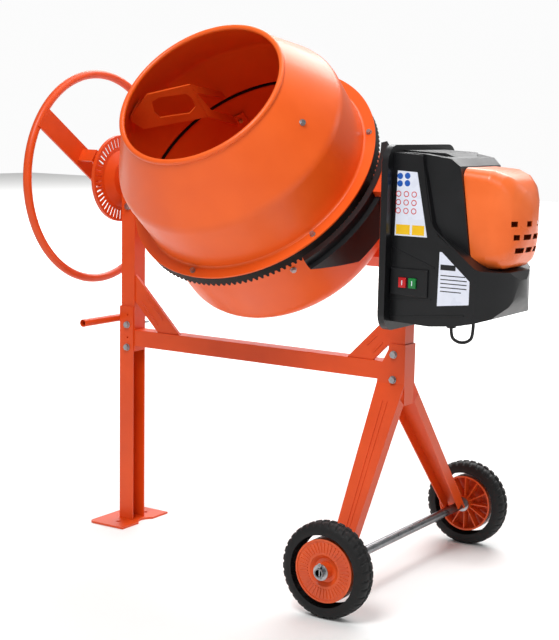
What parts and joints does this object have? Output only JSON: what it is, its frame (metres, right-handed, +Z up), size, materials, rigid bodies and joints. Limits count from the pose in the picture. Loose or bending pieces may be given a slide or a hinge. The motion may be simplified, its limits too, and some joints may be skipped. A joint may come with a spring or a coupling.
{
  "type": "concrete mixer",
  "caption": "Tilting-drum concrete mixer: tube frame with transport wheels, ring-gear drum in a swinging yoke, index-locked handwheel and enclosed electric drive.",
  "frame": {"origin": "middle of the overall width and depth, on the floor", "axes": "+Z up; +X along the tilting axis from the handwheel to the motor housing; the drum's mouth leans towards -Y"},
  "size_m": [1.163, 0.7168, 1.1916],
  "materials": {
    "orange_paint": "powder-coated steel",
    "drum_paint": "powder-coated deep-drawn steel",
    "blade_paint": "powder-coated steel, worn by the mix",
    "cast_gear": "cast, greased",
    "zinc": "zinc plated",
    "steel": "turned steel",
    "black_plastic": "moulded, satin",
    "orange_plastic": "moulded, fine grain",
    "red_plastic": "moulded",
    "green_plastic": "moulded",
    "label": "printed film",
    "rubber": "moulded rubber",
    "tyre": "solid rubber tread",
    "lead": "flexible sheath",
    "motor": "die cast"
  },
  "bodies": {
    "frame": {"left_upright": "orange_paint", "right_upright": "orange_paint", "crossbar": "orange_paint", "left_brace": "orange_paint", "right_brace": "orange_paint", "foot_leg": "orange_paint", "foot_plate": "orange_paint", "wheel_leg_front": "orange_paint", "wheel_leg_rear": "orange_paint", "axle": "steel", "handle_bar": "orange_paint", "frame_bolts": "zinc", "frame_nuts": "zinc", "bearing_blocks": "orange_paint", "wheel_washers": "zinc", "cotter_pins": "zinc", "index_disc": "orange_paint", "housing_plate": "orange_paint", "housing_cover": "black_plastic", "motor_cover": "orange_plastic", "drive_belt": "rubber", "motor_stator": "motor", "motor_bracket": "steel", "switch_box": "black_plastic", "safety_label": "label", "rating_label": "label", "cable_gland": "black_plastic", "motor_lead": "lead"},
    "tilting_yoke": {"yoke": "orange_paint", "left_trunnion": "steel", "right_trunnion": "steel", "drum_spindle": "steel", "spindle_nut": "zinc", "gear_guard": "black_plastic", "handwheel_nut": "zinc", "handwheel_spring": "steel"},
    "drum": {"drum_cone": "drum_paint", "drum_pan": "drum_paint", "drum_seal": "rubber", "ring_gear": "cast_gear", "flange_screws": "zinc", "left_blade": "blade_paint", "right_blade": "blade_paint", "blade_bolts": "zinc", "drum_hub": "cast_gear"},
    "drive": {"pinion": "cast_gear", "drive_shaft": "steel", "drive_pulley": "black_plastic"},
    "rotor": {"motor_rotor": "steel", "motor_pulley": "steel"},
    "handwheel": {"handwheel_rim": "orange_paint", "handwheel_bar": "orange_paint", "handwheel_hub": "orange_paint", "locking_tongue": "orange_paint"},
    "front_wheel": {"front_tyre": "tyre", "front_rim": "orange_plastic"},
    "rear_wheel": {"rear_tyre": "tyre", "rear_rim": "orange_plastic"},
    "stop_key": {"stop_button": "red_plastic"},
    "start_key": {"start_button": "green_plastic"}
  },
  "joints": [
    {"name": "drum_tilt", "type": "hinge", "parent": "frame", "child": "tilting_yoke", "pos_m": [-0.0865, 0.0064, 0.841], "axis": [1, 0, 0], "range_deg": [-172.5, 75]},
    {"name": "drum_spin", "type": "hinge", "parent": "tilting_yoke", "child": "drum", "pos_m": [-0.0865, 0.0064, 0.841], "axis": [0, -0.7615, 0.6481], "continuous": true},
    {"name": "drive_spin", "type": "hinge", "parent": "tilting_yoke", "child": "drive", "pos_m": [-0.0865, 0.0064, 0.841], "axis": [1, 0, 0], "continuous": true},
    {"name": "rotor_spin", "type": "hinge", "parent": "frame", "child": "rotor", "pos_m": [0.3935, 0.0064, 0.726], "axis": [1, 0, 0], "continuous": true},
    {"name": "handwheel_engage", "type": "slide", "parent": "tilting_yoke", "child": "handwheel", "axis": [1, 0, 0], "range_m": [0, 0.01]},
    {"name": "front_wheel_roll", "type": "hinge", "parent": "frame", "child": "front_wheel", "pos_m": [0.3035, -0.3106, 0.1], "axis": [0, 1, 0], "continuous": true},
    {"name": "rear_wheel_roll", "type": "hinge", "parent": "frame", "child": "rear_wheel", "pos_m": [0.3035, 0.3234, 0.1], "axis": [0, 1, 0], "continuous": true},
    {"name": "stop_press", "type": "slide", "parent": "frame", "child": "stop_key", "axis": [0, 1, 0], "range_m": [0, 0.003], "stiffness_N_per_m": 600},
    {"name": "start_press", "type": "slide", "parent": "frame", "child": "start_key", "axis": [0, 1, 0], "range_m": [0, 0.003], "stiffness_N_per_m": 600}
  ],
  "couplings": [
    {"joint": "drive_spin", "follows": "drum_spin", "ratio": -10},
    {"joint": "rotor_spin", "follows": "drum_spin", "ratio": -90}
  ]
}
